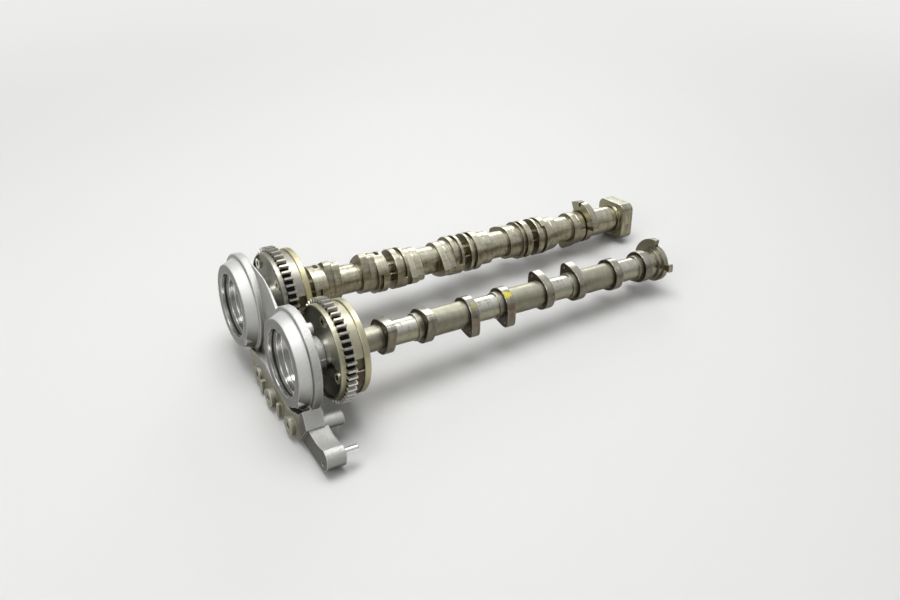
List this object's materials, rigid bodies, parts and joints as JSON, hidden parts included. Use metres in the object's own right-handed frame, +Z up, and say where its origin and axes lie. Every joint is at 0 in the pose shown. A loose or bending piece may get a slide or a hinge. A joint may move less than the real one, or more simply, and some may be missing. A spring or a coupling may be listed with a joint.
{
  "type": "camshaft set",
  "caption": "Pair of overhead camshafts with phasers in a cast bearing bridge: pressed lobes on one shaft, sliding lobe sleeves and a pump cam on the other.",
  "frame": {"origin": "centre of the exhaust ring's bore at its mouth", "axes": "+X along both shafts from the bridge to the rear, +Y from the exhaust to the intake shaft, +Z up"},
  "size_m": [0.474, 0.235, 0.109],
  "materials": {
    "cast_aluminium": "sand cast, faces turned",
    "pin_steel": "ground",
    "seal_rubber": "smooth",
    "exhaust_phaser_steel": "sintered, tinted by oil",
    "intake_phaser_steel": "sintered, tinted by oil",
    "dark_plate": "blackened, satin",
    "bolt_steel": "satin",
    "inner_steel": "sintered",
    "valve_steel": "turned",
    "tube_steel": "drawn, journals ground",
    "lobe_steel": "ground flanks, dark faces",
    "wheel_steel": "pressed, tinted by oil",
    "journal_steel": "ground",
    "sleeve_steel": "ground lobes and grooves",
    "spring_steel": "drawn wire"
  },
  "bodies": {
    "bridge": {"bearing_bridge": "cast_aluminium", "dowel_sleeve": "pin_steel", "exhaust_bore_seal": "seal_rubber", "intake_bore_seal": "seal_rubber"},
    "exhaust_shaft": {"exhaust_tube": "tube_steel", "exhaust_lobe_1": "lobe_steel", "exhaust_lobe_2": "lobe_steel", "exhaust_lobe_3": "lobe_steel", "exhaust_lobe_4": "lobe_steel", "exhaust_lobe_5": "lobe_steel", "exhaust_lobe_6": "lobe_steel", "exhaust_lobe_7": "lobe_steel", "exhaust_lobe_8": "lobe_steel", "exhaust_trigger_wheel": "wheel_steel", "exhaust_end_plug": "tube_steel", "exhaust_rotor": "inner_steel", "exhaust_lock_pin": "pin_steel", "exhaust_control_valve": "valve_steel"},
    "intake_shaft": {"carrier_shaft": "journal_steel", "intake_trigger_wheel": "wheel_steel", "pump_cam": "wheel_steel", "intake_rotor": "inner_steel", "intake_lock_pin": "pin_steel", "intake_control_valve": "valve_steel", "detent_ball_1": "pin_steel", "detent_ball_2": "pin_steel", "detent_ball_3": "pin_steel", "detent_ball_4": "pin_steel", "detent_spring_1": "spring_steel", "detent_spring_2": "spring_steel", "detent_spring_3": "spring_steel", "detent_spring_4": "spring_steel"},
    "exhaust_sprocket": {"exhaust_sprocket_housing": "exhaust_phaser_steel", "exhaust_front_plate": "dark_plate", "exhaust_rear_cover": "exhaust_phaser_steel", "exhaust_phaser_bolts": "bolt_steel"},
    "exhaust_spool": {"exhaust_valve_spool": "pin_steel"},
    "intake_sprocket": {"intake_sprocket_housing": "intake_phaser_steel", "intake_front_plate": "dark_plate", "intake_rear_cover": "intake_phaser_steel", "intake_phaser_bolts": "bolt_steel"},
    "intake_spool": {"intake_valve_spool": "pin_steel"},
    "sleeve_1": {"cam_sleeve_1": "sleeve_steel"},
    "sleeve_2": {"cam_sleeve_2": "sleeve_steel"},
    "sleeve_3": {"cam_sleeve_3": "sleeve_steel"},
    "sleeve_4": {"cam_sleeve_4": "sleeve_steel"}
  },
  "joints": [
    {"name": "exhaust_spin", "type": "hinge", "parent": "bridge", "child": "exhaust_shaft", "pos_m": [0, 0, 0], "axis": [1, 0, 0], "continuous": true},
    {"name": "exhaust_phase", "type": "hinge", "parent": "exhaust_shaft", "child": "exhaust_sprocket", "pos_m": [0, 0, 0], "axis": [-1, 0, 0], "range_deg": [0, 28]},
    {"name": "exhaust_spool_slide", "type": "slide", "parent": "exhaust_shaft", "child": "exhaust_spool", "axis": [1, 0, 0], "range_m": [0, 0.004], "stiffness_N_per_m": 900, "springref_m": -0.003},
    {"name": "intake_spin", "type": "hinge", "parent": "bridge", "child": "intake_shaft", "pos_m": [-0.005, 0.107, 0], "axis": [1, 0, 0], "continuous": true},
    {"name": "intake_phase", "type": "hinge", "parent": "intake_shaft", "child": "intake_sprocket", "pos_m": [-0.005, 0.107, 0], "axis": [-1, 0, 0], "range_deg": [0, 28]},
    {"name": "intake_spool_slide", "type": "slide", "parent": "intake_shaft", "child": "intake_spool", "axis": [1, 0, 0], "range_m": [0, 0.004], "stiffness_N_per_m": 900, "springref_m": -0.003},
    {"name": "sleeve_1_slide", "type": "slide", "parent": "intake_shaft", "child": "sleeve_1", "axis": [-1, 0, 0], "range_m": [0, 0.0063]},
    {"name": "sleeve_2_slide", "type": "slide", "parent": "intake_shaft", "child": "sleeve_2", "axis": [-1, 0, 0], "range_m": [0, 0.0063]},
    {"name": "sleeve_3_slide", "type": "slide", "parent": "intake_shaft", "child": "sleeve_3", "axis": [-1, 0, 0], "range_m": [0, 0.0063]},
    {"name": "sleeve_4_slide", "type": "slide", "parent": "intake_shaft", "child": "sleeve_4", "axis": [-1, 0, 0], "range_m": [0, 0.0063]}
  ]
}
